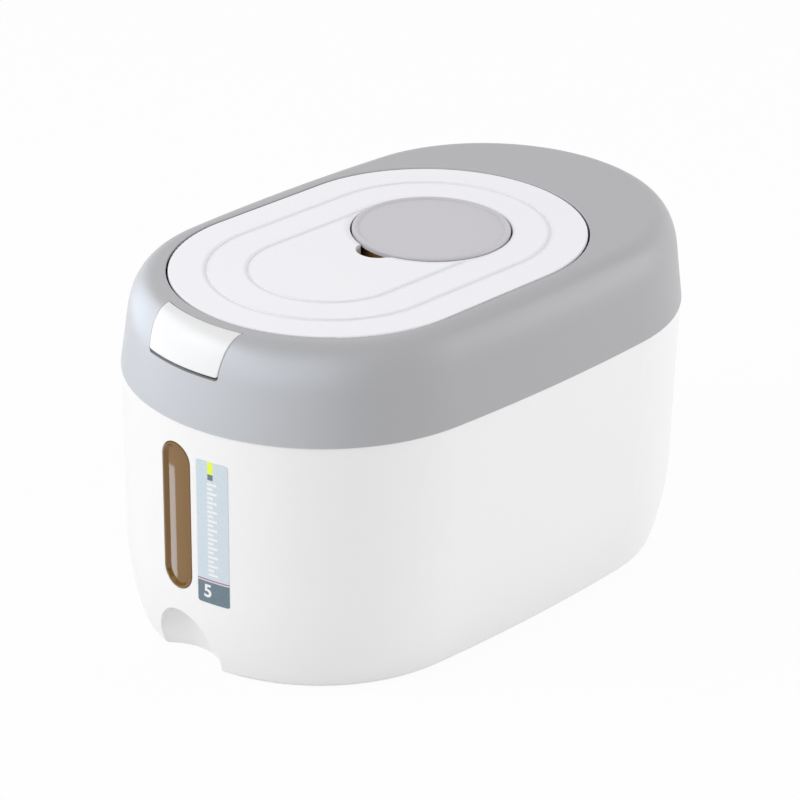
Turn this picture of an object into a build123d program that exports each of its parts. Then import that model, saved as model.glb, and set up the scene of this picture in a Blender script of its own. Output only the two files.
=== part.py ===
from build123d import *
import os
from math import atan, atan2, cos, degrees, radians, sin, sqrt

# A kitchen rice keeper: an oval open-topped bin, a lift-off collar with a domed edge, a sprung
# flap lid released by a rocker button at the front, and a measuring cup nested in the lid.
# Millimetres. The origin is on the ground under the middle, +Z up, the button at the -Y end.

# ---- Overall form -----------------------------------------------------------------------
WIDTH = 195.0  # across the collar where it meets the bin
LENGTH = 311.8  # front to back at the same height
SIDE_RADIUS = 1010.0  # plan radius of the long sides, which bow out slightly
SEAM_HEIGHT = 131.5  # ground to the joint between bin and collar
COLLAR_HEIGHT = 45.7  # that joint to the flat top

# ---- Bin --------------------------------------------------------------------------------
BIN_WALL = 2.4
BIN_FLOOR = 2.6
BIN_SET_BACK = 0.5  # the collar overhangs the bin by this much
BIN_DRAFT = 0.0113  # the wall leans in by this much per millimetre down
BASE_CURVE_HEIGHT = 46.6  # the wall starts to curve in below this height
BASE_CURVE_RADIUS = 157.0
BASE_EDGE_RADIUS = 2.4
RIM_HEIGHT = 6.0  # upstand inside the collar
RIM_WALL = 1.4
RIM_CLEARANCE = 0.3

# ---- Finger scoop at the front of the base ----------------------------------------------
SCOOP_HALF_WIDTH = 21.5
SCOOP_HEIGHT = 30.0
SCOOP_DEPTH = 11.0
SCOOP_LEAN = 10.0  # degrees, the back of the scoop leans out with the wall

# ---- Feet -------------------------------------------------------------------------------
FOOT_RADIUS = 7.0
FOOT_HEIGHT = 2.0
FOOT_STAND = 0.6  # how far the feet hold the bin off the ground
FOOT_CLEARANCE = 0.2
FOOT_SIDE_INSET = 41.5
FOOT_END_INSET = 55.9

# ---- Sight window and sticker -----------------------------------------------------------
WINDOW_WIDTH = 19.0
WINDOW_TOP = 11.2  # below the seam
WINDOW_LOW = 12.8  # above the finger scoop
WINDOW_FIT = 0.25
PANE_STAND = 0.3  # the pane's rim stands this far out of the wall
PANE_RIM = 1.2
PANE_DISH = 2.4  # depth of the pane's hollow middle
PANE_EDGE_RADIUS = 0.5
PANE_FLANGE = 3.2  # overlap of the pane behind the wall
PANE_FLANGE_THICKNESS = 1.6
WINDOW_SEAL_THICKNESS = 0.8
WINDOW_SEAL_FIT = 0.1  # between the wall and the seal
STICKER_GAP = 3.7  # beside the window
STICKER_WIDTH = 17.0
STICKER_TOP = 3.9  # below the window's top
STICKER_LOW = 1.5  # below the window's foot
STICKER_THICKNESS = 0.2
STICKER_CORNER = 1.2

# ---- Collar -----------------------------------------------------------------------------
COLLAR_WALL = 2.2
COLLAR_DRAFT = 0.131  # the side leans in by this much per millimetre up
DOME_HEIGHT = 18.9  # the rounded shoulder under the flat top
TOP_INSET = 17.1  # the flat top starts this far in from the seam outline
OVAL_CURVATURE = 0.5523  # handle length of a quarter ellipse
OPENING_CHAMFER = 0.4

# ---- Frame under the collar -------------------------------------------------------------
FRAME_PLATE = 2.4
COLLAR_SEAL_THICKNESS = 1.8
COLLAR_SEAL_WIDTH = 3.0
FRAME_FIT = 0.25
THROAT_WALL = 2.2
THROAT_CLEARANCE = 0.8
SCREW_BOSS_RADIUS = 3.8
SCREW_RADIUS = 1.5
SCREW_LENGTH = 12.0
SCREW_HEAD_RADIUS = 3.0
SCREW_HEAD_HEIGHT = 2.0
SCREW_FIT = 0.3
SCREW_PILOT_RADIUS = 1.2
REAR_SCREW_SIDE_INSET = 47.5
REAR_SCREW_END_INSET = 55.9
SIDE_SCREW_INSET = 15.5
FRONT_SCREW_INSET = 15.5
FRONT_SCREW_ANGLE = 40.0

# ---- Flap lid ---------------------------------------------------------------------------
LID_SIDE_MARGIN = 21.0  # plan outline to the lid's edge
LID_FRONT_MARGIN = 24.2
LID_REAR_MARGIN = 64.2
LID_GAP = 1.0
LID_PANEL = 2.2
LID_EDGE_RADIUS = 0.7
LID_UNDERCUT = 0.8
GROOVE_WIDTH = 1.5
GROOVE_DEPTH = 0.6
OUTER_GROOVE_INSET = 18.2
INNER_GROOVE_INSET = 38.0
LINER_PLATE = 2.0
LINER_INSET = 3.0
SKIRT_INSET = 13.0
SKIRT_WALL = 2.0
SKIRT_DEPTH = 13.0
LID_SEAL_HEIGHT = 2.4
LID_SEAL_WIDTH = 3.0

# ---- Measuring cup and its well ---------------------------------------------------------
DISC_RADIUS = 38.9
DISC_THICKNESS = 3.0
DISC_STAND = 0.8  # above the lid
DISC_BEVEL = 1.2
CUP_HEIGHT = 48.0
CUP_MOUTH_INSET = 0.9  # inside the disc's edge
CUP_TAPER = 2.0  # the base is this much less in radius than the mouth
CUP_WALL = 1.6
CUP_BASE = 2.0
CUP_LIP = 0.8
CUP_LIP_HEIGHT = 2.0
WELL_CLEARANCE = 0.9
WELL_WALL = 1.8
WELL_FLOOR = 1.8
WELL_DISH_WIDTH = 3.2
WELL_DISH_DEPTH = 0.7
THUMB_RADIUS = 10.6
THUMB_REACH = 9.3  # beyond the front edge of the cup's disc
THUMB_DEPTH = 15.0

# ---- Drying capsule under the lid -------------------------------------------------------
CAPSULE_FRONT_GAP = 14.3  # behind the lid's skirt
CAPSULE_REAR_GAP = 14.8  # in front of the thumb bowl
CAPSULE_DEPTH = 13.0
CAPSULE_WALL = 1.4
CAPSULE_FIT = 0.3
CAPSULE_FLANGE = 2.4
SOCKET_WALL = 1.6
SOCKET_DEPTH = 8.0
CAPSULE_SLOT_WIDTH = 2.6
CAPSULE_SLOT_PITCH = 8.0
TABLET_HEIGHT = 7.0
TABLET_FIT = 0.4

# ---- Lid hinge --------------------------------------------------------------------------
HINGE_BEHIND = 12.3  # the axis is this far behind the lid's rear edge
HINGE_DROP = 5.7  # the axis is this far below the top
HINGE_PIN_RADIUS = 1.25
HINGE_RUNNING_FIT = 0.05
HINGE_HUB_RADIUS = 3.0
HINGE_ARM_X = 14.0
HINGE_ARM_WIDTH = 6.0
HINGE_NECK_RADIUS = 15.4  # inside radius of the curved arm, which clears the collar's edge
HINGE_NECK_THICKNESS = 3.6
HINGE_NECK_FIRST = 24.0  # degrees above the forward direction
HINGE_NECK_LAST = 87.0  # degrees below it
HINGE_PAD = 2.2  # thickness of the arm's foot under the liner
SEAL_CLEARANCE = 0.5  # beside the lid seal
HINGE_EAR_WIDTH = 3.6
HINGE_EAR_RADIUS = 3.6
HINGE_EAR_GAP = 0.5
HINGE_SPRING_WIRE = 1.0
HINGE_SPRING_WIDTH = 9.0
HINGE_SPRING_FIT = 0.3
HINGE_SPRING_REACH = 19.5
HINGE_SPRING_TAIL = 12.0

# ---- Rocker button and latch ------------------------------------------------------------
BUTTON_TOP_WIDTH = 48.8
BUTTON_LOW_WIDTH = 45.2
BUTTON_LOW = 27.0  # above the seam
BUTTON_BAND = 7.3  # collar left between the lid's edge and the button
BUTTON_WALL = 2.2
BUTTON_STAND = 0.3
BUTTON_GAP = 0.35
BUTTON_LOW_GAP = 1.5
BUTTON_CORNER = 1.6
BUTTON_ROUNDING = 0.6  # of its outer edge
PIVOT_SET_BACK = 2.2  # behind the button's top edge
PIVOT_DROP = 6.7  # below the top
PIVOT_RADIUS = 1.2
PIVOT_FIT = 0.05
PIVOT_HUB_RADIUS = 2.6
CHEEK_INSET = 2.6  # inside the button's lower corners
CHEEK_WIDTH = 2.5
PIVOT_EAR_GAP = 0.5
PIVOT_EAR_WIDTH = 3.4
LATCH_HALF_WIDTH = 8.0
LATCH_THICKNESS = 2.2
LATCH_UPRIGHT = 1.6
LATCH_STEM_REACH = 10.2  # in front of the pivot
LATCH_FOOT_LIFT = 4.4  # over the frame's plate
LATCH_TOP_DROP = 12.0
TONGUE_THICKNESS = 2.0
TONGUE_INSET = 1.5
TONGUE_HALF_WIDTH = 12.0
TONGUE_FOOT_CLEARANCE = 1.7
CATCH_FLANGE = 2.0
LIP_REACH = 1.2
LIP_HEIGHT = 2.0
NOSE_CLEARANCE = 0.3
NOSE_REACH = 0.8
NOSE_HEIGHT = 2.6
BUTTON_SPRING_RADIUS = 3.6
BUTTON_SPRING_WIRE = 0.7
BUTTON_SPRING_PEG = 2.4
BUTTON_SPRING_PEG_HEIGHT = 2.0

# ---- Worked out from the sizes above ----------------------------------------------------
TOP = SEAM_HEIGHT + COLLAR_HEIGHT
HALF_WIDTH = WIDTH / 2
HALF_LENGTH = LENGTH / 2
END_RADIUS = (2 * HALF_WIDTH * SIDE_RADIUS - HALF_WIDTH**2 - HALF_LENGTH**2) / (
    2 * (SIDE_RADIUS - HALF_LENGTH)
)
END_CENTRE = HALF_LENGTH - END_RADIUS
SIDE_CENTRE = SIDE_RADIUS - HALF_WIDTH
JOIN_ANGLE = degrees(atan2(END_CENTRE, SIDE_CENTRE))
SIDE_SWEEP = 2 * JOIN_ANGLE
END_SWEEP = 180 - SIDE_SWEEP
# Each arc of the plan: centre x, centre y, radius, first angle, sweep.
RIGHT_ARC = (-SIDE_CENTRE, 0, SIDE_RADIUS, -JOIN_ANGLE, SIDE_SWEEP)
REAR_ARC = (0, END_CENTRE, END_RADIUS, JOIN_ANGLE, END_SWEEP)
LEFT_ARC = (SIDE_CENTRE, 0, SIDE_RADIUS, 180 - JOIN_ANGLE, SIDE_SWEEP)
FRONT_ARC = (0, -END_CENTRE, END_RADIUS, 180 + JOIN_ANGLE, END_SWEEP)
PLAN = (RIGHT_ARC, REAR_ARC, LEFT_ARC, FRONT_ARC)
BIN_CORE = 0.6 * END_RADIUS  # a filled form is a turned rim this deep round a prism
DECK_DEPTH = 0.75 * END_RADIUS  # the collar's top is made this deep, past the lid's opening
FAR = 2 * LENGTH  # longer than anything it has to cut through

RIM_TOP = SEAM_HEIGHT + RIM_HEIGHT
RIM_INSET = COLLAR_WALL + COLLAR_DRAFT * RIM_HEIGHT + RIM_CLEARANCE
PLATE_UNDER = RIM_TOP + COLLAR_SEAL_THICKNESS
PLATE_TOP = PLATE_UNDER + FRAME_PLATE
PLATE_INSET = COLLAR_WALL + COLLAR_DRAFT * (PLATE_TOP - SEAM_HEIGHT) + FRAME_FIT
DECK_UNDER = TOP - COLLAR_WALL

WINDOW_FOOT = SCOOP_HEIGHT + WINDOW_LOW
WINDOW_HEAD = SEAM_HEIGHT - WINDOW_TOP

LID_WIDTH = WIDTH - 2 * LID_SIDE_MARGIN
LID_FRONT = LID_FRONT_MARGIN - HALF_LENGTH
LID_REAR = HALF_LENGTH - LID_REAR_MARGIN
LID_STRAIGHT = LID_REAR - LID_FRONT - LID_WIDTH
LID_CENTRE_Y = (LID_REAR + LID_FRONT) / 2
LID_REAR_CENTRE = LID_REAR - LID_WIDTH / 2
LID_FRONT_CENTRE = LID_FRONT + LID_WIDTH / 2
PANEL_UNDER = TOP - LID_PANEL
LINER_UNDER = PANEL_UNDER - LINER_PLATE
SKIRT_FOOT = LINER_UNDER - SKIRT_DEPTH
THROAT_TOP = LINER_UNDER - LID_SEAL_HEIGHT
THROAT_INSET = SKIRT_INSET - THROAT_CLEARANCE - THROAT_WALL  # its outer face
SEAL_INSET = SKIRT_INSET - LID_SEAL_WIDTH  # the lid seal's outer face

DISC_TOP = TOP + DISC_STAND
DISC_UNDER = DISC_TOP - DISC_THICKNESS
WELL_RADIUS = DISC_RADIUS + WELL_CLEARANCE
WELL_BOTTOM = DISC_UNDER - CUP_HEIGHT
CUP_MOUTH_RADIUS = DISC_RADIUS - CUP_MOUTH_INSET
CUP_BASE_RADIUS = CUP_MOUTH_RADIUS - CUP_TAPER
THUMB_Y = LID_REAR_CENTRE - DISC_RADIUS - THUMB_REACH + THUMB_RADIUS
THUMB_Z = TOP - THUMB_DEPTH + THUMB_RADIUS
CAPSULE_FRONT = LID_FRONT + SKIRT_INSET + SKIRT_WALL + CAPSULE_FRONT_GAP
CAPSULE_REAR = THUMB_Y - THUMB_RADIUS - WELL_WALL - CAPSULE_REAR_GAP
CAPSULE_Y = (CAPSULE_REAR + CAPSULE_FRONT) / 2
CAPSULE_RADIUS = (CAPSULE_REAR - CAPSULE_FRONT) / 2 - CAPSULE_FLANGE
CAPSULE_FOOT = LINER_UNDER - CAPSULE_DEPTH
CAPSULE_SLOTS = round(2 * CAPSULE_RADIUS / CAPSULE_SLOT_PITCH) - 1
SOCKET_FOOT = LINER_UNDER - SOCKET_DEPTH
SOCKET_RADIUS = CAPSULE_RADIUS + CAPSULE_FIT

HINGE_Y = LID_REAR + HINGE_BEHIND
HINGE_Z = TOP - HINGE_DROP
HINGE_NECK_OUTER = HINGE_NECK_RADIUS + HINGE_NECK_THICKNESS
HINGE_ARM_END = HINGE_ARM_X + HINGE_ARM_WIDTH
HINGE_SPRING_X = HINGE_ARM_END + HINGE_EAR_GAP
HINGE_SPRING_END = HINGE_SPRING_X + HINGE_SPRING_WIDTH
INNER_EAR_X = HINGE_ARM_X - HINGE_EAR_GAP - HINGE_EAR_WIDTH
OUTER_EAR_X = HINGE_SPRING_END + HINGE_EAR_GAP
HINGE_PIN_END = OUTER_EAR_X + HINGE_EAR_WIDTH

CHEEK_END = BUTTON_LOW_WIDTH / 2 - CHEEK_INSET
CHEEK_X = CHEEK_END - CHEEK_WIDTH
PIVOT_EAR_END = CHEEK_X - PIVOT_EAR_GAP
PIVOT_EAR_X = PIVOT_EAR_END - PIVOT_EAR_WIDTH
PIVOT_Y = LID_FRONT - BUTTON_BAND + PIVOT_SET_BACK
PIVOT_Z = TOP - PIVOT_DROP
BUTTON_FOOT = SEAM_HEIGHT + BUTTON_LOW
BUTTON_EDGE_RADIUS = LID_WIDTH / 2 + BUTTON_BAND
LATCH_STEM_Y = PIVOT_Y - LATCH_STEM_REACH
LATCH_FOOT = PLATE_TOP + LATCH_FOOT_LIFT
LATCH_TOP = TOP - LATCH_TOP_DROP
TONGUE_FOOT = LATCH_FOOT + LATCH_THICKNESS + TONGUE_FOOT_CLEARANCE
TONGUE_Y = LID_FRONT + TONGUE_INSET + TONGUE_THICKNESS  # the tongue's inner face
LIP_Y = TONGUE_Y + LIP_REACH
NOSE_Y = LIP_Y + NOSE_CLEARANCE
UPRIGHT_Y = NOSE_Y + NOSE_REACH
NOSE_Z = TONGUE_FOOT + LIP_HEIGHT + NOSE_CLEARANCE


# ---- Plan forms, and how a side profile becomes a solid ---------------------------------
def oval(inset):
    """The plan outline, moved in by inset."""
    return make_face(
        [CenterArc((x, y), radius - inset, first, sweep) for x, y, radius, first, sweep in PLAN]
    )


def turned(section, arc):
    """Turns a side profile about one arc of the plan. The profile's X counts outward from it."""
    x, y, radius, first, sweep = arc
    outward = Vector(cos(radians(first)), sin(radians(first)), 0)
    plane = Plane(origin=(x, y, 0), x_dir=outward, z_dir=outward.cross(Vector(0, 0, 1)))
    return revolve(plane * (Pos(radius, 0) * section), Axis((x, y, 0), (0, 0, 1)), sweep)


def ring(section):
    """A side profile carried all the way round the plan."""
    right, rear, left, front = [turned(section, arc) for arc in PLAN]
    return right + rear + left + front


def slab(face, low, high):
    """A plan face made solid from one height to another."""
    return extrude(Pos(0, 0, low) * face, high - low)


def disc(radius, y, low, high):
    """A round slab on the centre line."""
    return Pos(0, y, (low + high) / 2) * Cylinder(radius, high - low)


def block(x, y, z):
    """A box between two values along each axis."""
    middle = Pos((x[0] + x[1]) / 2, (y[0] + y[1]) / 2, (z[0] + z[1]) / 2)
    return middle * Box(x[1] - x[0], y[1] - y[0], z[1] - z[0])


def side_plate(face, x0, x1):
    """A face drawn in Y and Z, made solid from x0 to x1."""
    return extrude(Plane.YZ.offset(x0) * face, x1 - x0)


def front_prism(face):
    """A face drawn in X and Z, carried through the front half of the object."""
    return extrude(Plane.XZ * face, FAR)


def cross_rod(radius, x0, x1, y, z):
    """A round rod along X."""
    return Pos((x0 + x1) / 2, y, z) * Rot(0, 90, 0) * Cylinder(radius, x1 - x0)


def both_sides(part):
    """The part and its mirror image across the centre line."""
    return part + mirror(part, Plane.YZ)


def lid_outline(inset):
    """The lid's outline: straight sides with a half round at each end."""
    return Pos(0, LID_CENTRE_Y) * SlotCenterToCenter(LID_STRAIGHT, LID_WIDTH - 2 * inset, 90)


def lid_band(outer_inset, inner_inset):
    return lid_outline(outer_inset) - lid_outline(inner_inset)


# ---- Side profiles ----------------------------------------------------------------------
def bin_inset(skin, z):
    """How far inside the plan outline the bin lies at a height, skin behind its outer face."""
    radius = BASE_CURVE_RADIUS - skin
    lean = atan(BIN_DRAFT)
    drop = max(BASE_CURVE_HEIGHT - z, 0) + radius * sin(lean)
    bend = radius * cos(lean) - sqrt(radius**2 - drop**2)
    return BIN_SET_BACK + skin + BIN_DRAFT * (SEAM_HEIGHT - max(z, BASE_CURVE_HEIGHT)) + bend


def bin_section(skin, low, edge_radius=0):
    """All that lies deeper than skin behind the bin's outer face, from low to the seam."""
    top = (-bin_inset(skin, SEAM_HEIGHT), SEAM_HEIGHT)
    bend = (-bin_inset(skin, BASE_CURVE_HEIGHT), BASE_CURVE_HEIGHT)
    foot = (-bin_inset(skin, low), low)
    outline = [
        Line(top, bend),
        TangentArc(bend, foot, tangent=(-BIN_DRAFT, -1)),
        Polyline(foot, (-BIN_CORE, low), (-BIN_CORE, SEAM_HEIGHT), top),
    ]
    face = make_face(outline)
    if edge_radius > 0:
        face = fillet(face.vertices().sort_by_distance(foot)[0], edge_radius)
    return face


def bin_form(skin, low, edge_radius=0):
    """The bin's form as a filled solid."""
    return ring(bin_section(skin, low, edge_radius)) + slab(oval(BIN_CORE), low, SEAM_HEIGHT)


def bin_skin(outer, inner):
    """A curved sheet between two depths behind the front of the bin."""
    low = BASE_CURVE_HEIGHT / 2
    return turned(bin_section(outer, low) - bin_section(inner, low), FRONT_ARC)


def collar_section(skin):
    """All that lies deeper than skin behind the collar's side and top."""
    shoulder_inset = COLLAR_DRAFT * (COLLAR_HEIGHT - DOME_HEIGHT)
    shoulder = Vector(-shoulder_inset - skin, TOP - DOME_HEIGHT)
    crown = Vector(-TOP_INSET, TOP - skin)
    rise = OVAL_CURVATURE * (DOME_HEIGHT - skin)
    reach = OVAL_CURVATURE * (TOP_INSET - shoulder_inset - skin)
    foot = (-skin, SEAM_HEIGHT)
    dome = Bezier(
        shoulder, shoulder + Vector(-COLLAR_DRAFT * rise, rise), crown + Vector(reach, 0), crown
    )
    inside = [(-DECK_DEPTH, TOP - skin), (-DECK_DEPTH, SEAM_HEIGHT)]
    return make_face([Line(foot, shoulder), dome, Polyline(crown, *inside, foot)])


def ring_section(outer_inset, width, low, high):
    """A rectangular profile, from outer_inset inwards."""
    return Pos(-outer_inset - width / 2, (low + high) / 2) * Rectangle(width, high - low)


# ---- Bin --------------------------------------------------------------------------------
def scoop(grow):
    """The finger scoop: an arch seen from the front, a leaning round barrel seen from above."""
    radius = (SCOOP_HALF_WIDTH**2 + SCOOP_DEPTH**2) / (2 * SCOOP_DEPTH)
    front_face = bin_inset(0, FOOT_STAND) - HALF_LENGTH
    centre = Pos(0, front_face + SCOOP_DEPTH - radius, 0)
    barrel = centre * Rot(SCOOP_LEAN, 0, 0) * Cylinder(radius + grow, FAR)
    return front_prism(Ellipse(SCOOP_HALF_WIDTH + grow, SCOOP_HEIGHT + grow)) & barrel


def window_outline(grow):
    middle = (WINDOW_HEAD + WINDOW_FOOT) / 2
    height = WINDOW_HEAD - WINDOW_FOOT
    return Pos(0, middle) * SlotOverall(height + 2 * grow, WINDOW_WIDTH + 2 * grow, 90)


def foot_places():
    return GridLocations(WIDTH - 2 * FOOT_SIDE_INSET, LENGTH - 2 * FOOT_END_INSET, 2, 2)


def make_bin():
    floor = FOOT_STAND + BIN_FLOOR
    shell = bin_form(0, FOOT_STAND, BASE_EDGE_RADIUS) - bin_form(BIN_WALL, floor, BASE_EDGE_RADIUS)
    rim_back = -RIM_INSET - RIM_WALL
    buried = -BIN_SET_BACK - BIN_WALL / 2
    rim = Polyline(
        (-RIM_INSET, RIM_TOP),
        (rim_back, RIM_TOP),
        (rim_back, SEAM_HEIGHT - RIM_HEIGHT),
        (buried, SEAM_HEIGHT - RIM_HEIGHT + rim_back - buried),
        (buried, SEAM_HEIGHT),
        (-RIM_INSET, SEAM_HEIGHT),
        close=True,
    )
    shell += ring(make_face(rim))
    shell += scoop(BIN_WALL) & bin_form(BIN_WALL / 2, FOOT_STAND + BIN_FLOOR / 2)
    shell -= scoop(0)
    shell -= front_prism(window_outline(0))
    pocket = Cylinder(FOOT_RADIUS + FOOT_CLEARANCE, 2 * FOOT_HEIGHT)
    for place in foot_places():
        shell -= place * pocket
    return shell


def make_feet():
    foot = Pos(0, 0, FOOT_HEIGHT / 2) * Cylinder(FOOT_RADIUS, FOOT_HEIGHT)
    return [place * foot for place in foot_places()]


def make_pane():
    """A rim in the wall's opening round a dished middle, with a flange behind the wall."""
    seat = BIN_WALL + WINDOW_SEAL_THICKNESS
    back = seat + PANE_FLANGE_THICKNESS
    plug = bin_skin(-PANE_STAND, back) & front_prism(window_outline(-WINDOW_FIT))
    plug = fillet(plug.edges().group_by(Axis.Y)[0], PANE_EDGE_RADIUS)
    pane = plug + (bin_skin(seat, back) & front_prism(window_outline(PANE_FLANGE)))
    return pane - (bin_skin(-BIN_WALL, PANE_DISH) & front_prism(window_outline(-WINDOW_FIT - PANE_RIM)))


def make_window_seal():
    face = window_outline(PANE_FLANGE) - window_outline(WINDOW_FIT)
    skin = bin_skin(BIN_WALL + WINDOW_SEAL_FIT, BIN_WALL + WINDOW_SEAL_THICKNESS)
    return skin & front_prism(face)


def make_sticker():
    x = WINDOW_WIDTH / 2 + STICKER_GAP + STICKER_WIDTH / 2
    high, low = WINDOW_HEAD - STICKER_TOP, WINDOW_FOOT - STICKER_LOW
    outline = RectangleRounded(STICKER_WIDTH, high - low, STICKER_CORNER)
    return bin_skin(-STICKER_THICKNESS, 0) & front_prism(Pos(x, (high + low) / 2) * outline)


# ---- Collar -----------------------------------------------------------------------------
def screw_places():
    """The six screws that hold the frame up against the collar."""
    front = END_RADIUS - FRONT_SCREW_INSET
    front_x = front * sin(radians(FRONT_SCREW_ANGLE))
    front_y = -END_CENTRE - front * cos(radians(FRONT_SCREW_ANGLE))
    rear = (HALF_WIDTH - REAR_SCREW_SIDE_INSET, HALF_LENGTH - REAR_SCREW_END_INSET)
    right = (rear, (HALF_WIDTH - SIDE_SCREW_INSET, 0), (front_x, front_y))
    return [Pos(side * x, y, 0) for x, y in right for side in (1, -1)]


def button_tool(gap, low_gap):
    """What the button takes out of the collar: tapered sides, a top edge round the lid's end."""
    low = BUTTON_FOOT - low_gap
    slope = (BUTTON_TOP_WIDTH - BUTTON_LOW_WIDTH) / (2 * (TOP - BUTTON_FOOT))
    low_x = BUTTON_LOW_WIDTH / 2 + gap - slope * low_gap
    high_x = BUTTON_TOP_WIDTH / 2 + gap + slope * COLLAR_HEIGHT
    high = TOP + COLLAR_HEIGHT
    face = make_face(Polyline((-low_x, low), (low_x, low), (high_x, high), (-high_x, high), close=True))
    face = fillet(face.vertices().sort_by(Axis.Y)[:2], BUTTON_CORNER + gap)
    return front_prism(face) - disc(BUTTON_EDGE_RADIUS - gap, LID_FRONT_CENTRE, 0, FAR)


def ear(y, z, radius, x0, x1, y_low, y_high):
    """A lug under the collar's top that carries a pin."""
    web = Pos((y_low + y_high) / 2, (z + DECK_UNDER) / 2) * Rectangle(y_high - y_low, DECK_UNDER - z)
    return side_plate(Pos(y, z) * Circle(radius) + web, x0, x1)


def hinge_ear(x):
    low, high = HINGE_Y - HINGE_EAR_RADIUS, HINGE_Y + HINGE_EAR_RADIUS
    return ear(HINGE_Y, HINGE_Z, HINGE_EAR_RADIUS, x, x + HINGE_EAR_WIDTH, low, high)


def pivot_ear():
    """Its web stays behind the button's top edge."""
    high = PIVOT_Y + PIVOT_HUB_RADIUS
    return ear(PIVOT_Y, PIVOT_Z, PIVOT_HUB_RADIUS, PIVOT_EAR_X, PIVOT_EAR_END, PIVOT_Y, high)


def make_collar():
    collar = ring(collar_section(0) - collar_section(COLLAR_WALL))
    collar -= slab(lid_outline(-LID_GAP), SEAM_HEIGHT, TOP + COLLAR_WALL)
    edge = Pos(0, 0, TOP - OPENING_CHAMFER) * lid_outline(-LID_GAP)
    collar -= extrude(edge, OPENING_CHAMFER, taper=-45)
    collar -= button_tool(BUTTON_GAP, BUTTON_LOW_GAP)
    inside = ring(collar_section(COLLAR_WALL / 2))
    boss = Pos(0, 0, (PLATE_TOP + TOP) / 2) * Cylinder(SCREW_BOSS_RADIUS, TOP - PLATE_TOP)
    pilot = Pos(0, 0, PLATE_TOP) * Cylinder(SCREW_PILOT_RADIUS, 2 * SCREW_LENGTH)
    for place in screw_places():
        collar += (place * boss) & inside
        collar -= place * pilot
    collar += both_sides(hinge_ear(INNER_EAR_X) + hinge_ear(OUTER_EAR_X) + pivot_ear())
    collar -= cross_rod(HINGE_PIN_RADIUS, -HINGE_PIN_END, HINGE_PIN_END, HINGE_Y, HINGE_Z)
    return collar - cross_rod(PIVOT_RADIUS, -PIVOT_EAR_END, PIVOT_EAR_END, PIVOT_Y, PIVOT_Z)


def make_frame():
    """The plate that closes the collar from below, with the peg that holds the button's spring."""
    frame = slab(oval(PLATE_INSET), PLATE_UNDER, PLATE_TOP)
    frame -= slab(lid_outline(THROAT_INSET), PLATE_UNDER, PLATE_TOP)
    hole = Pos(0, 0, PLATE_TOP) * Cylinder(SCREW_RADIUS + SCREW_FIT, 4 * FRAME_PLATE)
    for place in screw_places():
        frame -= place * hole
    peg_y = LATCH_STEM_Y + LATCH_THICKNESS / 2
    return frame + disc(BUTTON_SPRING_PEG, peg_y, PLATE_TOP, PLATE_TOP + BUTTON_SPRING_PEG_HEIGHT)


def make_throat():
    """The upright wall in the plate's opening that the lid's skirt goes into."""
    return slab(lid_band(THROAT_INSET, THROAT_INSET + THROAT_WALL), PLATE_UNDER, THROAT_TOP)


def make_collar_seal():
    outer = COLLAR_WALL + COLLAR_DRAFT * (PLATE_UNDER - SEAM_HEIGHT) + FRAME_FIT
    return ring(ring_section(outer, COLLAR_SEAL_WIDTH, RIM_TOP, PLATE_UNDER))


def make_screws():
    shank = Pos(0, 0, PLATE_UNDER + SCREW_LENGTH / 2) * Cylinder(SCREW_PILOT_RADIUS, SCREW_LENGTH)
    head = Pos(0, 0, PLATE_UNDER - SCREW_HEAD_HEIGHT / 2) * Cylinder(SCREW_HEAD_RADIUS, SCREW_HEAD_HEIGHT)
    head = chamfer(head.edges().group_by(Axis.Z)[0], SCREW_HEAD_HEIGHT / 2)
    return [place * (shank + head) for place in screw_places()]


# ---- Lid --------------------------------------------------------------------------------
def thumb_tool(grow):
    """The bowl in front of the cup that a finger goes into to lift the disc."""
    bowl = Pos(0, THUMB_Y, THUMB_Z) * Sphere(THUMB_RADIUS + grow)
    return bowl + disc(THUMB_RADIUS + grow, THUMB_Y, THUMB_Z, TOP + grow)


def make_lid_panel():
    panel = slab(lid_outline(0), PANEL_UNDER, TOP)
    panel = fillet(panel.edges().group_by(Axis.Z)[-1], LID_EDGE_RADIUS)
    panel = chamfer(panel.edges().group_by(Axis.Z)[0], LID_UNDERCUT)
    for inset in (OUTER_GROOVE_INSET, INNER_GROOVE_INSET):
        band = lid_band(inset - GROOVE_WIDTH / 2, inset + GROOVE_WIDTH / 2)
        panel -= slab(band, TOP - GROOVE_DEPTH, TOP)
    panel -= disc(WELL_RADIUS, LID_REAR_CENTRE, PANEL_UNDER, TOP)
    dish = Cone(WELL_RADIUS, WELL_RADIUS + WELL_DISH_WIDTH, WELL_DISH_DEPTH)
    panel -= Pos(0, LID_REAR_CENTRE, TOP - WELL_DISH_DEPTH / 2) * dish
    return panel - thumb_tool(0)


def well_form():
    """The outside of the well that the cup stands in, with the thumb bowl at its front."""
    well = disc(WELL_RADIUS + WELL_WALL, LID_REAR_CENTRE, WELL_BOTTOM - WELL_FLOOR, PANEL_UNDER)
    return well + (thumb_tool(WELL_WALL) & slab(lid_outline(0), SKIRT_FOOT - WELL_WALL, PANEL_UNDER))


def make_well():
    well = well_form() - disc(WELL_RADIUS, LID_REAR_CENTRE, WELL_BOTTOM, PANEL_UNDER)
    return well - thumb_tool(0)


def make_liner():
    liner = slab(lid_outline(LINER_INSET), LINER_UNDER, PANEL_UNDER)
    liner += slab(lid_band(SKIRT_INSET, SKIRT_INSET + SKIRT_WALL), SKIRT_FOOT, LINER_UNDER)
    return liner - well_form() - make_catch()


def make_socket():
    socket = disc(SOCKET_RADIUS + SOCKET_WALL, CAPSULE_Y, SOCKET_FOOT, LINER_UNDER)
    return socket - disc(SOCKET_RADIUS, CAPSULE_Y, SOCKET_FOOT, LINER_UNDER)


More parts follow.
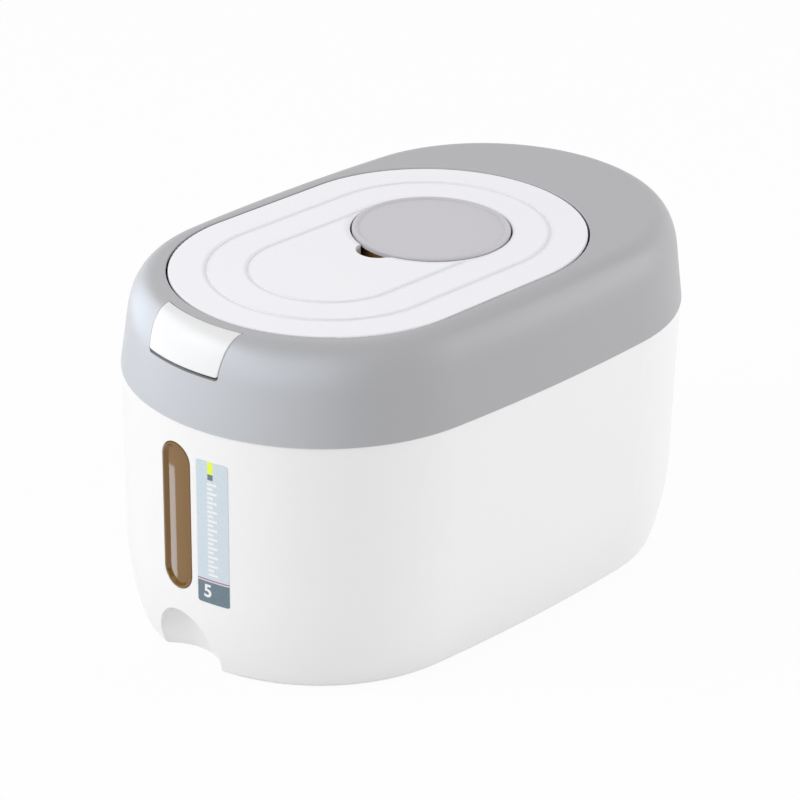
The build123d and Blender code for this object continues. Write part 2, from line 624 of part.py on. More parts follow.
def make_catch():
    """The tongue under the lid's front edge, with a lip for the latch and a foot under the liner."""
    x = (-TONGUE_HALF_WIDTH, TONGUE_HALF_WIDTH)
    foot_end = LID_FRONT + SEAL_INSET - SEAL_CLEARANCE
    catch = block(x, (TONGUE_Y - TONGUE_THICKNESS, TONGUE_Y), (TONGUE_FOOT, PANEL_UNDER))
    catch += block(x, (TONGUE_Y, foot_end), (LINER_UNDER - CATCH_FLANGE, LINER_UNDER))
    return catch + block(x, (TONGUE_Y, LIP_Y), (TONGUE_FOOT, TONGUE_FOOT + LIP_HEIGHT))


def make_hinge_arm():
    """A curved arm that carries the lid round the edge of the collar as it opens."""
    centre = Pos(HINGE_Y, HINGE_Z)
    first, last = 180 - HINGE_NECK_FIRST, 180 + HINGE_NECK_LAST
    inner = CenterArc((0, 0), HINGE_NECK_RADIUS, first, last - first)
    outer = CenterArc((0, 0), HINGE_NECK_OUTER, first, last - first)
    neck = make_face([inner, outer, Line(inner @ 0, outer @ 0), Line(inner @ 1, outer @ 1)])
    middle = HINGE_NECK_RADIUS + HINGE_NECK_THICKNESS / 2
    spoke_angle = last - degrees(HINGE_NECK_THICKNESS / 2 / middle)
    spoke = Rot(0, 0, spoke_angle) * Pos(middle / 2, 0) * Rectangle(middle, HINGE_NECK_THICKNESS)
    arm = centre * (neck + spoke + Circle(HINGE_HUB_RADIUS))
    pad_start = LID_REAR - SEAL_INSET + SEAL_CLEARANCE
    pad_end = HINGE_Y - middle
    pad = Rectangle(pad_end - pad_start, HINGE_PAD)
    arm += Pos((pad_start + pad_end) / 2, LINER_UNDER - HINGE_PAD / 2) * pad
    arm -= Pos(HINGE_Y - FAR / 2, LINER_UNDER + FAR / 2) * Rectangle(FAR, FAR)
    arm -= centre * Circle(HINGE_PIN_RADIUS + HINGE_RUNNING_FIT)
    return side_plate(arm, HINGE_ARM_X, HINGE_ARM_END)


def make_lid_seal():
    return slab(lid_band(SEAL_INSET, SKIRT_INSET), THROAT_TOP, LINER_UNDER)


# ---- Measuring cup ----------------------------------------------------------------------
def make_cup():
    """The cup stands mouth down in the well, so its base is under the disc."""
    under = DISC_UNDER - CUP_BASE
    profile = Polyline(
        (0, DISC_UNDER),
        (CUP_BASE_RADIUS, DISC_UNDER),
        (CUP_MOUTH_RADIUS, WELL_BOTTOM + CUP_LIP_HEIGHT),
        (CUP_MOUTH_RADIUS + CUP_LIP, WELL_BOTTOM + CUP_LIP_HEIGHT),
        (CUP_MOUTH_RADIUS + CUP_LIP, WELL_BOTTOM),
        (CUP_MOUTH_RADIUS - CUP_WALL, WELL_BOTTOM),
        (CUP_BASE_RADIUS - CUP_WALL, under),
        (0, under),
        close=True,
    )
    cup = revolve(Plane.XZ * make_face(profile), Axis.Z)
    return Pos(0, LID_REAR_CENTRE, 0) * cup


def make_disc():
    plate = disc(DISC_RADIUS, LID_REAR_CENTRE, DISC_UNDER, DISC_TOP)
    return chamfer(plate.edges().group_by(Axis.Z)[-1], DISC_STAND, DISC_BEVEL)


# ---- Drying capsule ---------------------------------------------------------------------
def make_capsule():
    case = disc(CAPSULE_RADIUS, CAPSULE_Y, CAPSULE_FOOT, LINER_UNDER)
    case += disc(CAPSULE_RADIUS + CAPSULE_FLANGE, CAPSULE_Y, CAPSULE_FOOT, SOCKET_FOOT)
    case -= disc(CAPSULE_RADIUS - CAPSULE_WALL, CAPSULE_Y, CAPSULE_FOOT + CAPSULE_WALL, LINER_UNDER)
    for index in range(CAPSULE_SLOTS):
        x = CAPSULE_SLOT_PITCH * (index - (CAPSULE_SLOTS - 1) / 2)
        reach = sqrt((CAPSULE_RADIUS - CAPSULE_SLOT_PITCH / 2) ** 2 - x**2)
        slot = Pos(x, CAPSULE_Y) * SlotOverall(2 * reach, CAPSULE_SLOT_WIDTH, 90)
        case -= slab(slot, CAPSULE_FOOT, CAPSULE_FOOT + CAPSULE_WALL)
    return case


def make_tablet():
    low = CAPSULE_FOOT + CAPSULE_WALL
    tablet = disc(CAPSULE_RADIUS - CAPSULE_WALL - TABLET_FIT, CAPSULE_Y, low, low + TABLET_HEIGHT)
    return chamfer(tablet.edges().filter_by(GeomType.CIRCLE), CAPSULE_WALL)


# ---- Hinge pins and springs -------------------------------------------------------------
def make_hinge_pin():
    return cross_rod(HINGE_PIN_RADIUS, INNER_EAR_X, HINGE_PIN_END, HINGE_Y, HINGE_Z)


def spring_leg(start, end):
    """A straight leg drawn in Y and Z, as thick as the wire."""
    along = Vector(end[0] - start[0], end[1] - start[1]).normalized()
    side = Vector(-along.Y, along.X) * (HINGE_SPRING_WIRE / 2)
    start, end = Vector(*start), Vector(*end)
    return make_face(Polyline(start - side, start + side, end + side, end - side, close=True))


def make_hinge_spring():
    """The turns as one sleeve, with a leg under the lid and a tail under the collar's top."""
    wire = HINGE_SPRING_WIRE
    bore = HINGE_PIN_RADIUS + HINGE_SPRING_FIT
    middle = bore + wire / 2
    below = wire / 2 + HINGE_SPRING_FIT
    turns = Pos(HINGE_Y, HINGE_Z) * (Circle(bore + wire) - Circle(bore))
    leg_end = (HINGE_Y - HINGE_SPRING_REACH, LINER_UNDER - below)
    tail_end = (HINGE_Y + HINGE_SPRING_TAIL, DECK_UNDER - below)
    leg = spring_leg((HINGE_Y, HINGE_Z - middle), leg_end)
    tail = spring_leg((HINGE_Y, HINGE_Z + middle), tail_end)
    spring = side_plate(turns, HINGE_SPRING_X, HINGE_SPRING_END)
    spring += side_plate(leg - Pos(HINGE_Y, HINGE_Z) * Circle(bore), HINGE_SPRING_X, HINGE_SPRING_X + wire)
    return spring + side_plate(
        tail - Pos(HINGE_Y, HINGE_Z) * Circle(bore), HINGE_SPRING_END - wire, HINGE_SPRING_END
    )


# ---- Button and latch -------------------------------------------------------------------
def make_button():
    blank = turned(collar_section(-BUTTON_STAND), FRONT_ARC) & button_tool(0, 0)
    skin = blank.faces().filter_by(lambda face: face.geom_type in (GeomType.CONE, GeomType.REVOLUTION))
    button = fillet(skin.edges(), BUTTON_ROUNDING) - turned(collar_section(BUTTON_WALL), FRONT_ARC)
    inside = turned(collar_section(BUTTON_WALL / 2), FRONT_ARC)
    high, low = PIVOT_Z + PIVOT_HUB_RADIUS, PIVOT_Z - PIVOT_HUB_RADIUS
    cheek = Polyline(
        (PIVOT_Y, high), (-HALF_LENGTH, high), (-HALF_LENGTH, BUTTON_FOOT + BUTTON_WALL),
        (LATCH_STEM_Y, BUTTON_FOOT + BUTTON_WALL), (PIVOT_Y, low), close=True
    )
    hub = Pos(PIVOT_Y, PIVOT_Z) * Circle(PIVOT_HUB_RADIUS)
    plate = side_plate(make_face(cheek) + hub, CHEEK_X, CHEEK_END) & inside
    half = LATCH_HALF_WIDTH - BUTTON_WALL / 2
    rib = block((-half, half), (-HALF_LENGTH, LATCH_STEM_Y), (BUTTON_FOOT, LATCH_TOP)) & inside
    button += both_sides(plate) + rib
    return button - cross_rod(PIVOT_RADIUS + PIVOT_FIT, -CHEEK_END, CHEEK_END, PIVOT_Y, PIVOT_Z)


def make_pivot_pin():
    return cross_rod(PIVOT_RADIUS, -CHEEK_END, CHEEK_END, PIVOT_Y, PIVOT_Z)


def make_latch():
    outline = Polyline(
        (LATCH_STEM_Y, LATCH_TOP),
        (LATCH_STEM_Y, LATCH_FOOT),
        (UPRIGHT_Y + LATCH_UPRIGHT, LATCH_FOOT),
        (UPRIGHT_Y + LATCH_UPRIGHT, NOSE_Z + NOSE_HEIGHT),
        (UPRIGHT_Y, NOSE_Z + NOSE_HEIGHT),
        (NOSE_Y, NOSE_Z + NOSE_HEIGHT / 3),
        (NOSE_Y, NOSE_Z),
        (UPRIGHT_Y, NOSE_Z),
        (UPRIGHT_Y, LATCH_FOOT + LATCH_THICKNESS),
        (LATCH_STEM_Y + LATCH_THICKNESS, LATCH_FOOT + LATCH_THICKNESS),
        (LATCH_STEM_Y + LATCH_THICKNESS, LATCH_TOP),
        close=True,
    )
    return side_plate(make_face(outline), -LATCH_HALF_WIDTH, LATCH_HALF_WIDTH)


def make_button_spring():
    """The button's coil spring, as the sleeve that its turns fill."""
    y = LATCH_STEM_Y + LATCH_THICKNESS / 2
    turns = disc(BUTTON_SPRING_RADIUS, y, PLATE_TOP, LATCH_FOOT)
    return turns - disc(BUTTON_SPRING_RADIUS - BUTTON_SPRING_WIRE, y, PLATE_TOP, LATCH_FOOT)


# ---- The pieces -------------------------------------------------------------------------
os.makedirs("parts", exist_ok=True)
hinge_pin = make_hinge_pin()
hinge_spring = make_hinge_spring()
hinge_arm = make_hinge_arm()
PIECES = {
    "bin_shell": make_bin(),
    "rubber_feet": Compound(children=make_feet()),
    "window_pane": make_pane(),
    "window_seal": make_window_seal(),
    "gauge_sticker": make_sticker(),
    "collar_cover": make_collar(),
    "collar_frame": make_frame(),
    "throat_ring": make_throat(),
    "collar_seal": make_collar_seal(),
    "collar_screws": Compound(children=make_screws()),
    "lid_panel": make_lid_panel(),
    "lid_liner": make_liner(),
    "cup_well": make_well(),
    "capsule_socket": make_socket(),
    "lid_catch": make_catch(),
    "hinge_arm_right": hinge_arm,
    "hinge_arm_left": mirror(hinge_arm, Plane.YZ),
    "lid_seal": make_lid_seal(),
    "measuring_cup": make_cup(),
    "cup_disc": make_disc(),
    "capsule_case": make_capsule(),
    "drying_tablet": make_tablet(),
    "hinge_pin_right": hinge_pin,
    "hinge_pin_left": mirror(hinge_pin, Plane.YZ),
    "hinge_spring_right": hinge_spring,
    "hinge_spring_left": mirror(hinge_spring, Plane.YZ),
    "press_button": make_button(),
    "button_pivot_pin": make_pivot_pin(),
    "latch_arm": make_latch(),
    "button_spring": make_button_spring(),
}
for name, piece in PIECES.items():
    export_step(piece, f"parts/{name}.step")
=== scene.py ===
from math import asin, cos, pi, radians, sin

import bmesh
import bpy
from mathutils import Matrix, Vector


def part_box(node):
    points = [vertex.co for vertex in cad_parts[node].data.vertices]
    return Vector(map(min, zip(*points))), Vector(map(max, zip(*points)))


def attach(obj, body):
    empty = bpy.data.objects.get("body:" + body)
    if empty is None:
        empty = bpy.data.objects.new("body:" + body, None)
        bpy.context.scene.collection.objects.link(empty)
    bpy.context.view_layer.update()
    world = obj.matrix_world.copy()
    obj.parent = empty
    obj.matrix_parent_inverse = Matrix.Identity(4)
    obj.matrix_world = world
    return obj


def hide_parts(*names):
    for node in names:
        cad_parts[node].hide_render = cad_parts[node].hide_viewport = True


# A kitchen rice keeper, dressed for the photograph's view. Metres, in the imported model's frame.
# +Z is up and the button end faces -Y.

# ---- Camera, solved from the outline in the photograph ----------------------------------
CAMERA_AZIMUTH = radians(43.48)
CAMERA_ELEVATION = radians(26.18)
CAMERA_ROLL = radians(1.12)
CAMERA_DISTANCE = 1.6307
CAMERA_LENS = 149.41  # mm, on Blender's 36 mm sensor
CLIP_START = 0.1
CLIP_END = 20
AIM_HEIGHT = 0.1315  # the joint between bin and collar
AIM_RIGHT = -0.00319
AIM_UP = -0.03845

# ---- Floor, background and lamps --------------------------------------------------------
FLOOR_SIZE = 6.0
FLOOR_GLOW = 0.93  # share of the floor's look that is plain white, the rest shows the shadow
PAPER_WHITE = (0.85, 0.85, 0.85)
PAPER_ROUGHNESS = 0.9
WORLD_LEVEL = 0.79
KEY_POWER = 9.0
KEY_SIZE = 0.9
KEY_PLACE = (-0.75, -1.25, 0.95)
FILL_POWER = 7.5
FILL_SIZE = 1.2
FILL_PLACE = (1.15, 1.25, 0.55)
LIGHT_TARGET = (0.0, 0.0, 0.1)

# ---- Glowing cards, which show only as reflections on the pieces linked to them ---------
# The sheen and side cards meet at one edge and light the collar and the button. The strip card
# makes the pale line down the sight pane.
CARD_BLUE = (0.8, 0.9, 1.0)
CARD_FOOT = 0.0
SHEEN_CARD_LEFT = (-0.80, 0.0)
SHEEN_CARD_RIGHT = (0.30, -0.85)
SHEEN_CARD_HEIGHT = 0.60
SHEEN_CARD_GLOW = 4.9
SIDE_CARD_RIGHT = (0.85, -0.65)
SIDE_CARD_HEIGHT = 1.3
SIDE_CARD_GLOW = 3.4
STRIP_CARD_LEFT = (-0.0745, -0.1975)
STRIP_CARD_RIGHT = (-0.0644, -0.2038)
STRIP_CARD_HEIGHT = 0.063
STRIP_CARD_GLOW = 4.5

# ---- Colours, linear --------------------------------------------------------------------
BODY_WHITE = (0.885, 0.885, 0.885)
LID_WHITE = (0.87, 0.87, 0.90)
BUTTON_WHITE = (0.75, 0.75, 0.75)
INNER_WHITE = (0.78, 0.77, 0.75)
COLLAR_GREY = (0.40, 0.40, 0.415)
DISC_GREY = (0.55, 0.53, 0.57)
TINT_BROWN = (0.275, 0.142, 0.034)
# The latch arm's near-black colour is painted shade, so the gap under the button reads dark.
LATCH_PAINTED_SHADE = (0.08, 0.08, 0.085)
RUBBER_GREY = (0.35, 0.35, 0.35)
SEAL_WHITE = (0.70, 0.70, 0.68)
STEEL_GREY = (0.55, 0.55, 0.56)
TABLET_STONE = (0.60, 0.56, 0.47)
STICKER_PALE = (0.60, 0.69, 0.76)
STICKER_PALER = (0.63, 0.70, 0.76)
STICKER_SLATE = (0.14, 0.20, 0.25)
STICKER_LIME = (0.80, 0.93, 0.06)
STICKER_RED = (0.42, 0.08, 0.14)
PRINT_WHITE = (0.86, 0.86, 0.86)

# ---- Surface detail ---------------------------------------------------------------------
NOISE_LOW = 0.3  # grain values below this and above NOISE_HIGH count as its ends
NOISE_HIGH = 0.7
DRIFT_SCALE = 9.0
DRIFT_DETAIL = 2.0
GRAIN_DETAIL = 3.0
GRAIN_STRENGTH = 0.5
GLOSS_SPREAD = 0.07  # how far the roughness varies with the grain, as a share of itself
TINT_TRANSMISSION = 0.25
TINT_IOR = 1.5
GROOVE_INSETS = (0.0182, 0.0380)  # from the lid's edge to the middle of each of its grooves
SHOULDER_REACH = 0.0024  # from a groove's middle to where the lid is flat again
SHOULDER_DEPTH = 0.0007

# ---- The sticker's print, in metres from its top edge, or as shares of its width --------
FADE_SHARE = 0.8  # how much of the paler colour its right edge has
TAB_SIDES = (0.38, 0.55)
TAB_FOOT = 0.0063
BLOCK_FOOT = 0.0093
TICK_SIDES = (0.36, 0.66)
SHORT_TICK_SIDES = (0.36, 0.54)
TICK_PITCH = 0.0024
TICK_HEIGHT = 0.0013
TICKS_TOP = 0.0115
TICKS_FOOT = 0.0600
RULE_TOP = 0.0622
RULE_FOOT = 0.0628
FIELD_TOP = 0.0635
PAST_EDGES = (-1, 2)  # sides that reach past both of its edges
PAST_FOOT = 1
NUMBER_SHARE = 0.33  # where the number stands across the sticker
NUMBER_RISE = 0.0062  # its middle above the sticker's foot
NUMBER_SIZE = 0.0094
NUMBER_PROUD = 0.00006
NUMBER_BOLD = 0.00022

# ---- The sight pane's hollow and the cup's disc -----------------------------------------
PANE_LIFT = 0.0013
FLOOR_SHARE = 0.86  # the lifted floor's size against the hollow's mouth, for sloping sides
FLOOR_FACING = 0.9  # a face of the hollow's floor turns at least this far to the front
PROBE_START = 0.01  # how far in front of a piece a search for its surface begins
PLACE_DIGITS = 6  # corners that agree to so many digits of a metre are one corner
LIP_RADIUS = 0.0016
LIP_STEPS = 12
DISC_HOLLOW = 0.0009
DISC_SEGMENTS = 144
WELD_REACH = 0.000001
SHARP_ANGLE = radians(40)

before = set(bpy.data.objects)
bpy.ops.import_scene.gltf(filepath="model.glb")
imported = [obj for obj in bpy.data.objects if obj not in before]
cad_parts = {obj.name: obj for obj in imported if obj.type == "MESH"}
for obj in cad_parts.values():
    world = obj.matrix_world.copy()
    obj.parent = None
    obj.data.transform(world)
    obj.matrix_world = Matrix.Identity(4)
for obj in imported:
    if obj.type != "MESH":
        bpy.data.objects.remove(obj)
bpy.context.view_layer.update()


def add_to_scene(piece):
    bpy.context.scene.collection.objects.link(piece)
    return piece


# ---- Shader nodes -----------------------------------------------------------------------
def new_material(name):
    material = bpy.data.materials.new(name)
    material.use_nodes = True
    return material, material.node_tree


def shader_of(material):
    return material.node_tree.nodes["Principled BSDF"]


def shifted(color, factor):
    return tuple(min(channel * factor, 1) for channel in color)


def add_place(tree):
    """The point in the object's own metres, so what is drawn there has a real size."""
    return tree.nodes.new("ShaderNodeTexCoord").outputs["Object"]


def add_axes(tree):
    axes = tree.nodes.new("ShaderNodeSeparateXYZ")
    tree.links.new(add_place(tree), axes.inputs["Vector"])
    return axes.outputs["X"], axes.outputs["Y"], axes.outputs["Z"]


def add_noise(tree, scale, detail):
    noise = tree.nodes.new("ShaderNodeTexNoise")
    noise.inputs["Scale"].default_value = scale
    noise.inputs["Detail"].default_value = detail
    tree.links.new(add_place(tree), noise.inputs["Vector"])
    return noise.outputs["Fac"]


def add_range(tree, value, **ends):
    """Maps a value from one range to another, by the ends' names with underscores for spaces."""
    spread = tree.nodes.new("ShaderNodeMapRange")
    for name, end in ends.items():
        spread.inputs[name.replace("_", " ")].default_value = end
    tree.links.new(value, spread.inputs["Value"])
    return spread.outputs["Result"]


def add_math(tree, operation, *values):
    """A math node fed by sockets or plain numbers."""
    node = tree.nodes.new("ShaderNodeMath")
    node.operation = operation
    for socket, value in zip(node.inputs, values):
        if isinstance(value, (int, float)):
            socket.default_value = value
        else:
            tree.links.new(value, socket)
    return node.outputs["Value"]


def add_mix(tree, factor, first, second):
    """Blends two colours, each a socket or a plain colour."""
    mix = tree.nodes.new("ShaderNodeMix")
    mix.data_type = "RGBA"
    tree.links.new(factor, mix.inputs["Factor"])
    for name, color in (("A", first), ("B", second)):
        if isinstance(color, tuple):
            mix.inputs[name].default_value = (*color, 1)
        else:
            tree.links.new(color, mix.inputs[name])
    return mix.outputs["Result"]


def add_bump(tree, height, distance):
    bump = tree.nodes.new("ShaderNodeBump")
    bump.inputs["Distance"].default_value = distance
    tree.links.new(height, bump.inputs["Height"])
    return bump


# ---- Materials --------------------------------------------------------------------------
def add_surface(material, color, roughness, grain, depth):
    """Feeds the shader a colour, a slightly uneven gloss, and a grain of that scale and depth."""
    tree = material.node_tree
    shader = shader_of(material)
    tree.links.new(color, shader.inputs["Base Color"])
    height = add_noise(tree, grain, GRAIN_DETAIL)
    gloss = add_range(
        tree, height, From_Min=NOISE_LOW, From_Max=NOISE_HIGH,
        To_Min=roughness * (1 - GLOSS_SPREAD), To_Max=roughness * (1 + GLOSS_SPREAD),
    )
    tree.links.new(gloss, shader.inputs["Roughness"])
    bump = add_bump(tree, height, depth)
    bump.inputs["Strength"].default_value = GRAIN_STRENGTH
    tree.links.new(bump.outputs["Normal"], shader.inputs["Normal"])


def moulded(name, color, roughness, grain, depth, specular=0.5, variation=0.015):
    """Moulded plastic: a faint drift of colour and gloss, and a fine spark-eroded grain."""
    material, tree = new_material(name)
    drift = add_noise(tree, DRIFT_SCALE, DRIFT_DETAIL)
    tone = add_mix(tree, drift, shifted(color, 1 - variation), shifted(color, 1 + variation))
    add_surface(material, tone, roughness, grain, depth)
    shader_of(material).inputs["Specular IOR Level"].default_value = specular
    return material


def tinted():
    """Clear brown plastic, smooth, that lets some light through."""
    material = moulded("TintedClear", TINT_BROWN, roughness=0.06, grain=700, depth=0.000004, variation=0.05)
    shader = shader_of(material)
    shader.inputs["Transmission Weight"].default_value = TINT_TRANSMISSION
    shader.inputs["IOR"].default_value = TINT_IOR
    return material


def plain_steel():
    material = moulded("PlainSteel", STEEL_GREY, roughness=0.3, grain=1500, depth=0.00001)
    shader_of(material).inputs["Metallic"].default_value = 1.0
    return material


def grooved_lid():
    """The lid's plastic, with a soft shoulder on each side of its two grooves."""
    material = moulded("LidPlastic", LID_WHITE, roughness=0.5, grain=3200, depth=0.00003, specular=0.2)
    tree = material.node_tree
    low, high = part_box("lid_panel")
    end_radius = (high.x - low.x) / 2
    straight = (high.y - low.y) / 2 - end_radius
    across, along, _ = add_axes(tree)
    along = add_math(tree, "ABSOLUTE", add_math(tree, "SUBTRACT", along, (low.y + high.y) / 2))
    along = add_math(tree, "MAXIMUM", add_math(tree, "SUBTRACT", along, straight), 0.0)
    squares = [add_math(tree, "POWER", way, 2.0) for way in (across, along)]
    reach = add_math(tree, "SQRT", add_math(tree, "ADD", *squares))
    heights = []
    for inset in GROOVE_INSETS:
        off = add_math(tree, "ABSOLUTE", add_math(tree, "SUBTRACT", reach, end_radius - inset))
        rise = add_range(tree, off, From_Max=SHOULDER_REACH)
        rise.node.interpolation_type = "SMOOTHSTEP"
        heights.append(rise)
    shoulder = add_bump(tree, add_math(tree, "MULTIPLY", *heights), SHOULDER_DEPTH)
    normal = shader_of(material).inputs["Normal"]
    tree.links.new(normal.links[0].from_socket, shoulder.inputs["Normal"])
    tree.links.new(shoulder.outputs["Normal"], normal)
    return material


def printed_sticker():
    """A pale gauge label: a lime tab and a slate block at the top, ticks, a rule and a slate field."""
    material, tree = new_material("StickerPrint")
    low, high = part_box("gauge_sticker")
    across, _, height = add_axes(tree)
    across = add_math(tree, "DIVIDE", add_math(tree, "SUBTRACT", across, low.x), high.x - low.x)
    down = add_math(tree, "SUBTRACT", high.z, height)

    def between(value, start, end):
        return add_math(tree, "COMPARE", value, (start + end) / 2, (end - start) / 2)

    def patch(sides, top, foot):
        return add_math(tree, "MULTIPLY", between(across, *sides), between(down, top, foot))

    def ticks(sides, pitch):
        phase = add_math(tree, "PINGPONG", add_math(tree, "SUBTRACT", down, TICKS_TOP), pitch / 2)
        column = patch(sides, TICKS_TOP - TICK_HEIGHT / 2, TICKS_FOOT)
        return add_math(tree, "MULTIPLY", column, add_math(tree, "LESS_THAN", phase, TICK_HEIGHT / 2))

    color = add_mix(tree, add_math(tree, "MULTIPLY", across, FADE_SHARE), STICKER_PALE, STICKER_PALER)
    for mask, ink in (
        (patch(TAB_SIDES, -TAB_FOOT, TAB_FOOT), STICKER_LIME),
        (patch(TAB_SIDES, TAB_FOOT, BLOCK_FOOT), STICKER_SLATE),
        (ticks(SHORT_TICK_SIDES, TICK_PITCH), PRINT_WHITE),
        (ticks(TICK_SIDES, 2 * TICK_PITCH), PRINT_WHITE),
        (patch(PAST_EDGES, RULE_TOP, RULE_FOOT), STICKER_RED),
        (patch(PAST_EDGES, FIELD_TOP, PAST_FOOT), STICKER_SLATE),
    ):
        color = add_mix(tree, mask, color, ink)
    add_surface(material, color, roughness=0.28, grain=900, depth=0.000002)
    return material


def assign(material, *names):
    for name in names:
        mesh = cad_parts[name].data
        mesh.materials.clear()
        mesh.materials.append(material)


assign(
    moulded("BodyPlastic", BODY_WHITE, roughness=0.36, grain=2600, depth=0.00002, specular=0.3),
    "bin_shell",
)
assign(grooved_lid(), "lid_panel")
assign(
    moulded("ButtonPlastic", BUTTON_WHITE, roughness=0.3, grain=1500, depth=0.000005, specular=0.2),
    "press_button",
)
assign(
    moulded("InnerPlastic", INNER_WHITE, roughness=0.4, grain=2600, depth=0.00002),
    "throat_ring", "lid_liner", "cup_well", "capsule_socket", "lid_catch", "hinge_arm_right",
    "hinge_arm_left", "capsule_case",
)
# The collar frame shares the collar's grey plastic. Seen through the gap under the button, the same grey
# also serves as painted shade there.
assign(
    moulded("CollarPlastic", COLLAR_GREY, roughness=0.4, grain=3000, depth=0.00003),
    "collar_cover", "collar_frame",
)
# The latch arm is painted near black: painted shade for the gap under the button.
assign(
    moulded("LatchPaintedShade", LATCH_PAINTED_SHADE, roughness=0.35, grain=2200, depth=0.00002),
    "latch_arm",
)
disc_plastic = moulded("DiscPlastic", DISC_GREY, roughness=0.38, grain=3200, depth=0.00003)
assign(disc_plastic, "cup_disc")
assign(
    moulded("FootRubber", RUBBER_GREY, roughness=0.7, grain=1800, depth=0.00005),
    "rubber_feet",
)
assign(
    moulded("SealRubber", SEAL_WHITE, roughness=0.6, grain=1800, depth=0.00003),
    "window_seal", "collar_seal", "lid_seal",
)
assign(
    moulded("TabletStone", TABLET_STONE, roughness=0.85, grain=900, depth=0.0001, variation=0.06),
    "drying_tablet",
)
assign(tinted(), "window_pane", "measuring_cup")
assign(printed_sticker(), "gauge_sticker")
assign(
    plain_steel(),
    "collar_screws", "hinge_pin_right", "hinge_pin_left", "hinge_spring_right",
    "hinge_spring_left", "button_pivot_pin", "button_spring",
)


# ---- The sight pane, with the shallow middle that the photograph shows ------------------
def rounded(point):
    return tuple(round(value, PLACE_DIGITS) for value in point)


def hollow_floor(mesh, first):
    """The corners of the front-facing faces that join up with the first one."""
    corners = [[rounded(mesh.vertices[index].co) for index in face.vertices] for face in mesh.polygons]
    faces_at = {}
    for face, around in enumerate(corners):
        for corner in around:
            faces_at.setdefault(corner, []).append(face)
    floor = set()
    waiting = [first]
    while waiting:
        face = waiting.pop()
        if face in floor or mesh.polygons[face].normal.y > -FLOOR_FACING:
            continue
        floor.add(face)
        for corner in corners[face]:
            waiting.extend(faces_at[corner])
    return {corner for face in floor for corner in corners[face]}


def make_shallow_pane():
    """The window's pane with the floor of its hollow brought nearer to its rim."""
    pane = add_to_scene(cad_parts["window_pane"].copy())
    pane.name = "SightPane"
    pane.data = pane.data.copy()
    low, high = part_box("window_pane")
    middle = (low + high) / 2
    before = Vector((middle.x, low.y - PROBE_START, middle.z))
    _, _, _, first = pane.ray_cast(before, Vector((0, 1, 0)))
    floor = hollow_floor(pane.data, first)
    half = (high.x - low.x) / 2
    for vertex in pane.data.vertices:
        if rounded(vertex.co) in floor:
            axis_z = min(max(vertex.co.z, low.z + half), high.z - half)
            vertex.co.x = middle.x + (vertex.co.x - middle.x) * FLOOR_SHARE
            vertex.co.z = axis_z + (vertex.co.z - axis_z) * FLOOR_SHARE
            vertex.co.y -= PANE_LIFT
    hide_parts("window_pane")
    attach(pane, "bin")
    return pane


sight_pane = make_shallow_pane()


# ---- The cup's disc, with its rounded lip -----------------------------------------------
def make_lipped_disc():
    """The disc as a turned plate: a faint hollow inside a rounded lip."""
    low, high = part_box("cup_disc")
    centre = (low + high) / 2
    radius = (high.x - low.x) / 2
    lip_start = pi - asin(1 - DISC_HOLLOW / LIP_RADIUS)
    profile = [(0, high.z - DISC_HOLLOW)]
    for step in range(LIP_STEPS + 1):
        angle = lip_start * (1 - step / LIP_STEPS)
        out = radius - LIP_RADIUS + LIP_RADIUS * cos(angle)
        profile.append((out, high.z - LIP_RADIUS + LIP_RADIUS * sin(angle)))
    profile += [(radius, low.z), (0, low.z)]
    turned = bmesh.new()
    points = [turned.verts.new((centre.x + out, centre.y, height)) for out, height in profile]
    edges = [turned.edges.new(pair) for pair in zip(points, points[1:])]
    bmesh.ops.spin(
        turned, geom=points + edges, cent=centre, axis=(0, 0, 1), angle=2 * pi, steps=DISC_SEGMENTS
    )
    bmesh.ops.remove_doubles(turned, verts=turned.verts, dist=WELD_REACH)
    bmesh.ops.recalc_face_normals(turned, faces=turned.faces)
    for face in turned.faces:
        face.smooth = True
    mesh = bpy.data.meshes.new("LippedDisc")
    turned.to_mesh(mesh)
    turned.free()
    mesh.set_sharp_from_angle(angle=SHARP_ANGLE)
    mesh.materials.append(disc_plastic)
    plate = add_to_scene(bpy.data.objects.new("LippedDisc", mesh))
    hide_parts("cup_disc")
    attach(plate, "cup")


make_lipped_disc()


# ---- The number on the sticker ----------------------------------------------------------
def axes_matrix(right, up, back):
    return Matrix((right, up, back)).transposed().to_4x4()


def make_number():
    """A plain white 5, laid on the sticker where its face turns away from the front."""
    low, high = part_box("gauge_sticker")
    before = Vector((low.x + NUMBER_SHARE * (high.x - low.x), low.y - PROBE_START, low.z + NUMBER_RISE))
    _, point, normal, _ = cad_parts["gauge_sticker"].ray_cast(before, Vector((0, 1, 0)))
    outline = bpy.data.curves.new("StickerNumber", "FONT")
    outline.body = "5"
    outline.size = NUMBER_SIZE
    outline.extrude = NUMBER_PROUD
    outline.offset = NUMBER_BOLD
    outline.align_x = "CENTER"
    outline.align_y = "CENTER"
    outline.materials.append(moulded("NumberInk", PRINT_WHITE, roughness=0.3, grain=900, depth=0.000005))
    number = add_to_scene(bpy.data.objects.new("StickerNumber", outline))
    right = Vector((0, 0, 1)).cross(normal).normalized()
    number.matrix_world = Matrix.Translation(point) @ axes_matrix(right, normal.cross(right), normal)
    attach(number, "bin")


make_number()


# ---- Studio -----------------------------------------------------------------------------
def seen_directly(tree):
    """1 for rays that should meet plain white: the camera's, mirror-like ones and those through glass."""
    path = tree.nodes.new("ShaderNodeLightPath")
    total = path.outputs["Is Camera Ray"]
    for name in ("Is Glossy Ray", "Is Transmission Ray"):
        total = add_math(tree, "MAXIMUM", total, path.outputs[name])
    return total


def add_glow(tree, color, strength):
    glow = tree.nodes.new("ShaderNodeEmission")
    glow.inputs["Color"].default_value = (*color, 1)
    glow.inputs["Strength"].default_value = strength
    return glow.outputs["Emission"]


